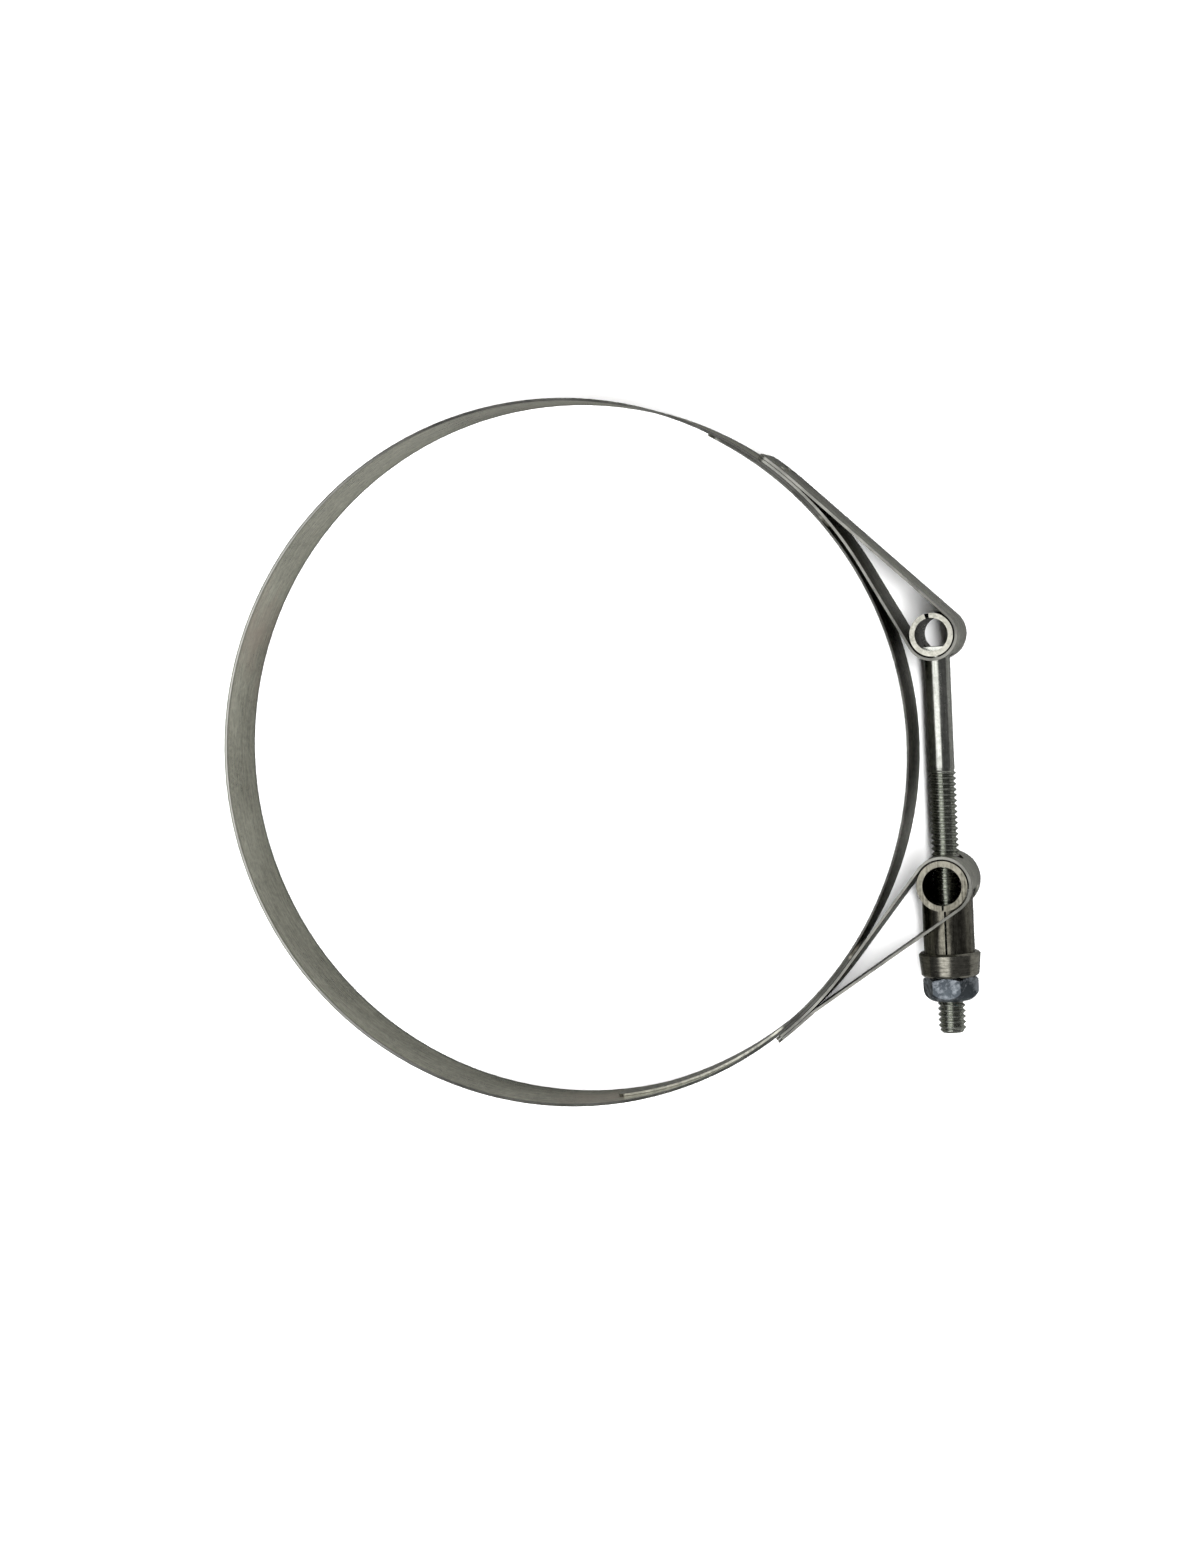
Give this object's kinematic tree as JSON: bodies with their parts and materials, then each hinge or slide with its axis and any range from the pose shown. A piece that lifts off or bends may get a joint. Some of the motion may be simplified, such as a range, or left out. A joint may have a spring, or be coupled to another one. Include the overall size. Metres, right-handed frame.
{
  "type": "t-bolt hose clamp",
  "caption": "Round steel band clamp with folded end loops, rolled trunnions, a long bolt and a lock nut that draws the band tight round a hose.",
  "frame": {"origin": "ring axis at the plane of the band's lower edge", "axes": "+Z along the hose's axis, +X towards the bolt, +Y towards the bolt's T head"},
  "size_m": [0.1772, 0.1648, 0.019],
  "materials": {
    "band_steel": "brushed, lengthwise grain",
    "trunnion_steel": "rolled sheet",
    "bolt_steel": "bright, rolled thread",
    "zinc_plate": "bluish zinc plate",
    "nylon": "natural nylon"
  },
  "bodies": {
    "ring": {"band": "band_steel", "bridge": "band_steel", "head_loop": "band_steel", "nut_loop": "band_steel"},
    "bolt": {"head_trunnion": "trunnion_steel", "t_bolt": "bolt_steel"},
    "barrel": {"barrel_trunnion": "trunnion_steel", "collar": "trunnion_steel"},
    "nut_seat": {"nylon_insert": "nylon"},
    "nut": {"lock_nut": "zinc_plate"}
  },
  "joints": [
    {"name": "bolt_pivot", "type": "hinge", "parent": "ring", "child": "bolt", "pos_m": [0.08773, 0.0239, 0.0095], "axis": [0, 0, 1], "range_deg": [-0.6, 0.6]},
    {"name": "barrel_pivot", "type": "hinge", "parent": "ring", "child": "barrel", "pos_m": [0.08773, -0.0329, 0.0095], "axis": [0, 0, 1], "range_deg": [-0.6, 0.6]},
    {"name": "nut_travel", "type": "slide", "parent": "bolt", "child": "nut_seat", "axis": [0, -1, 0], "range_m": [0, 0.0064]},
    {"name": "nut_turn", "type": "hinge", "parent": "nut_seat", "child": "nut", "pos_m": [0.08773, -0.0571, 0.0095], "axis": [0, -1, 0], "range_deg": [0, 1800]}
  ],
  "couplings": [
    {"joint": "barrel_pivot", "follows": "bolt_pivot", "ratio": 1},
    {"joint": "nut_travel", "follows": "nut_turn", "m_per_rad": 0.00020213}
  ]
}
